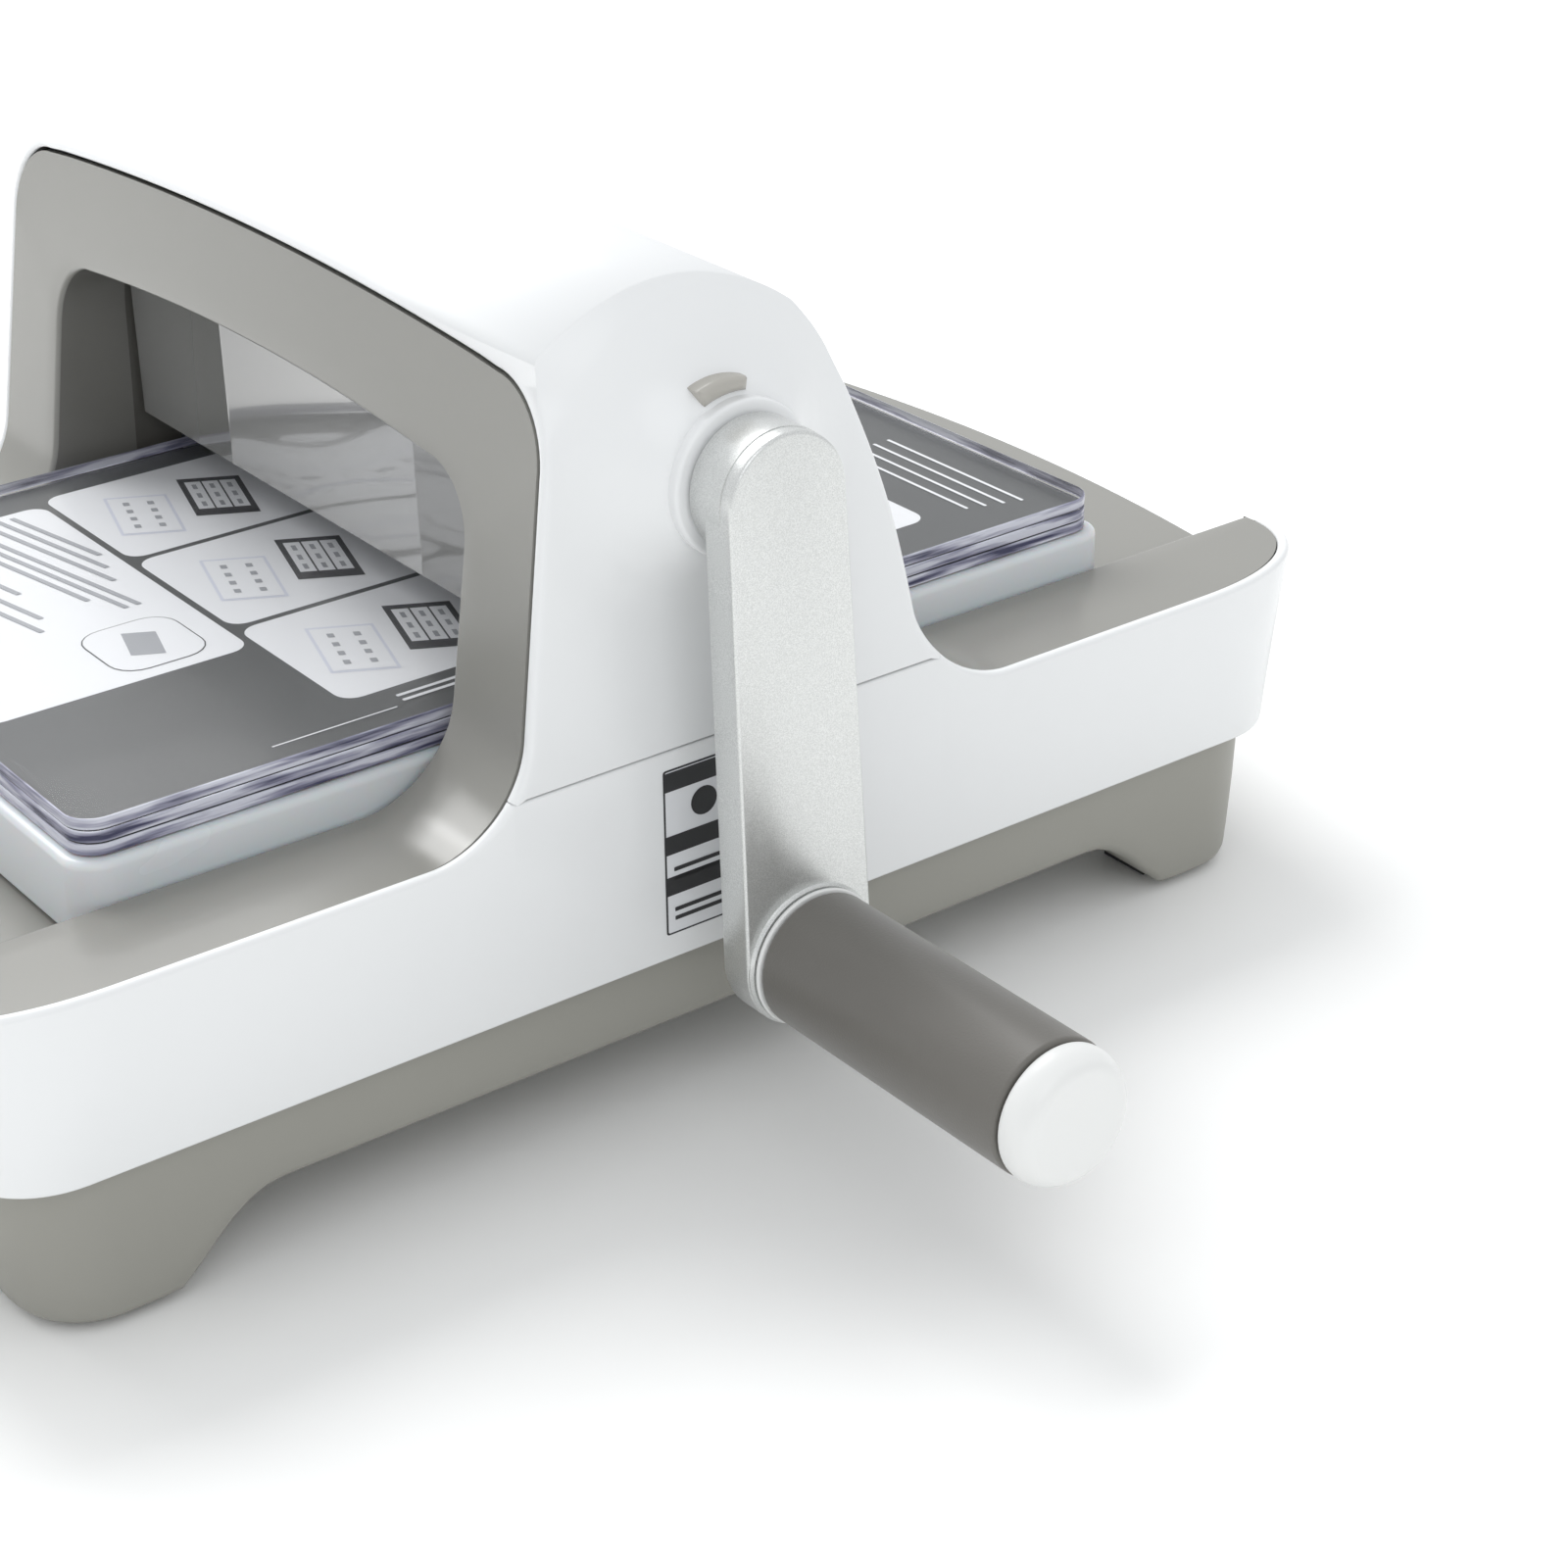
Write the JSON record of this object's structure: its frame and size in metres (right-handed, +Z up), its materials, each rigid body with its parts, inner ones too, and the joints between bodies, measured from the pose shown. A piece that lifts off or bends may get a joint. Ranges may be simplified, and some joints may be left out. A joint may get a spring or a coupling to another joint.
{
  "type": "die cutting machine",
  "caption": "Hand-cranked tabletop die cutting machine: white arch over a feed channel, geared rollers, plate stack and side crank",
  "frame": {"origin": "middle of the machine's footprint, crank and grip included, on the surface it stands on", "axes": "+X along the rollers towards the crank, +Y along the feed channel towards the rear tray, +Z up"},
  "size_m": [0.315, 0.338, 0.168],
  "materials": {
    "white_plastic": "glossy moulded plastic",
    "grey_plastic": "glossy warm grey moulded plastic",
    "base_grey_plastic": "fine satin moulded plastic",
    "grip_plastic": "soft-touch plastic",
    "gloss_grey_plastic": "high gloss smoky grey plastic",
    "satin_silver": "satin silver paint with a fine sparkle",
    "steel": "plain machined steel",
    "bronze": "oil-filled bearing bronze",
    "rubber": "matt black rubber",
    "frosted_plate": "translucent white, satin",
    "printed_sheet": "dark grey sheet printed with plain white panels",
    "clear_pad": "clear, polished, with a faint violet edge"
  },
  "bodies": {
    "housing": {"base_pan": "base_grey_plastic", "base_screw_front_left": "steel", "base_screw_front_right": "steel", "base_screw_rear_left": "steel", "base_screw_rear_right": "steel", "foot_pad_front_left": "rubber", "foot_pad_front_right": "rubber", "foot_pad_rear_left": "rubber", "foot_pad_rear_right": "rubber", "lower_housing": "white_plastic", "front_deck": "grey_plastic", "rear_deck": "grey_plastic", "front_shield": "gloss_grey_plastic", "rear_shield": "gloss_grey_plastic", "top_cover": "white_plastic", "side_plate_left": "steel", "side_plate_right": "steel", "tie_rod_front": "steel", "tie_rod_rear": "steel", "tie_rod_top": "steel", "upper_bush_left": "bronze", "upper_bush_right": "bronze", "lower_bush_left": "bronze", "lower_bush_right": "bronze", "crank_shaft_bush": "bronze", "idler_pin_upper": "steel", "idler_pin_lower": "steel", "crank_collar": "white_plastic", "spring_bracket": "steel", "latch_spring": "steel"},
    "crank": {"crank_arm": "satin_silver", "crank_shaft": "steel", "crank_pinion": "steel", "pinion_clip": "steel", "grip_spindle": "steel", "grip_collar": "white_plastic"},
    "grip": {"grip_sleeve": "grip_plastic", "grip_end_cap": "white_plastic"},
    "upper_roller_group": {"upper_roller": "steel", "roller_drive_gear": "steel", "upper_sync_gear": "steel", "drive_gear_clip": "steel", "upper_sync_clip": "steel"},
    "lower_roller_group": {"lower_roller": "steel", "lower_sync_gear": "steel", "lower_sync_clip": "steel"},
    "upper_idler": {"idler_gear_upper": "grey_plastic"},
    "lower_idler": {"idler_gear_lower": "grey_plastic"},
    "button": {"release_button": "grey_plastic"},
    "platform": {"platform_base": "frosted_plate", "printed_adapter": "printed_sheet", "cutting_pad_lower": "clear_pad", "cutting_pad_upper": "clear_pad"}
  },
  "joints": [
    {"name": "crank_turn", "type": "hinge", "parent": "housing", "child": "crank", "pos_m": [0.0613, 0, 0.1308], "axis": [1, 0, 0], "range_deg": [-690, 690]},
    {"name": "grip_spin", "type": "hinge", "parent": "crank", "child": "grip", "pos_m": [0.1163, 0.00306, 0.03865], "axis": [1, 0, 0], "continuous": true},
    {"name": "upper_roller_turn", "type": "hinge", "parent": "housing", "child": "upper_roller_group", "pos_m": [-0.0487, 0, 0.1023], "axis": [1, 0, 0], "range_deg": [-320, 320]},
    {"name": "upper_idler_turn", "type": "hinge", "parent": "housing", "child": "upper_idler", "pos_m": [-0.1427, 0, 0.0807], "axis": [1, 0, 0], "range_deg": [-465, 465]},
    {"name": "lower_idler_turn", "type": "hinge", "parent": "housing", "child": "lower_idler", "pos_m": [-0.1427, 0, 0.0631], "axis": [1, 0, 0], "range_deg": [-465, 465]},
    {"name": "lower_roller_turn", "type": "hinge", "parent": "housing", "child": "lower_roller_group", "pos_m": [-0.0487, 0, 0.0415], "axis": [1, 0, 0], "range_deg": [-320, 320]},
    {"name": "platform_feed", "type": "slide", "parent": "housing", "child": "platform", "axis": [0, 1, 0], "range_m": [-0.1005, 0.1005]},
    {"name": "button_press", "type": "slide", "parent": "housing", "child": "button", "axis": [1, 0, 0], "range_m": [-0.0025, 0], "stiffness_N_per_m": 600, "springref_m": 0.002, "deforming": ["latch_spring"]}
  ],
  "couplings": [
    {"joint": "upper_roller_turn", "follows": "crank_turn", "ratio": -0.46154},
    {"joint": "upper_idler_turn", "follows": "crank_turn", "ratio": 0.67133},
    {"joint": "lower_idler_turn", "follows": "crank_turn", "ratio": -0.67133},
    {"joint": "lower_roller_turn", "follows": "crank_turn", "ratio": 0.46154},
    {"joint": "platform_feed", "follows": "crank_turn", "m_per_rad": -0.0083077}
  ]
}
